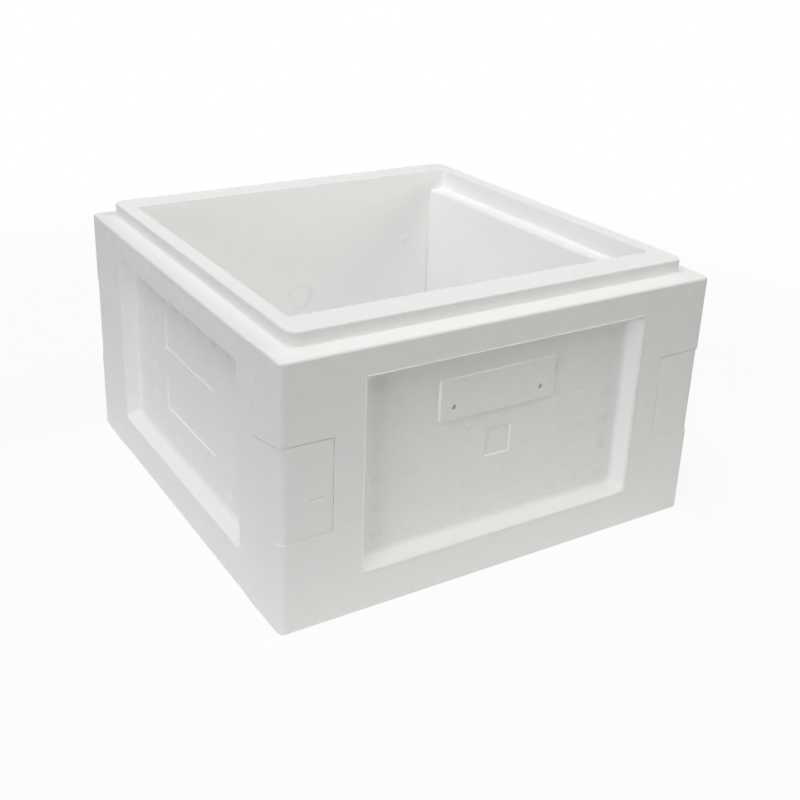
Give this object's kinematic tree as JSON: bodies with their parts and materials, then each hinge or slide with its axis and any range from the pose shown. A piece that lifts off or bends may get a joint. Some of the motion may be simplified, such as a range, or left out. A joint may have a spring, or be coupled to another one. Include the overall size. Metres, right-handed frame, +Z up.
{
  "type": "nuc box",
  "caption": "Square open-ended foam hive body of dovetailed panels with a stacking rim, frame rests and recessed outer faces, for a small mating colony.",
  "frame": {"origin": "middle of the base, on the surface that the box stands on", "axes": "+Z up, -Y towards the front panel, -X towards the left panel"},
  "size_m": [0.3, 0.3, 0.1755],
  "materials": {
    "foam": "white moulded expanded polystyrene, matt, with a fine bead skin"
  },
  "bodies": {
    "end_panels": {"front_panel": "foam", "back_panel": "foam"},
    "left_side": {"left_panel": "foam"},
    "right_side": {"right_panel": "foam"}
  },
  "joints": [
    {"name": "left_panel_slide", "type": "slide", "parent": "end_panels", "child": "left_side", "axis": [-1, 0, 0], "range_m": [0, 0.06]},
    {"name": "right_panel_slide", "type": "slide", "parent": "end_panels", "child": "right_side", "axis": [1, 0, 0], "range_m": [0, 0.06]}
  ]
}
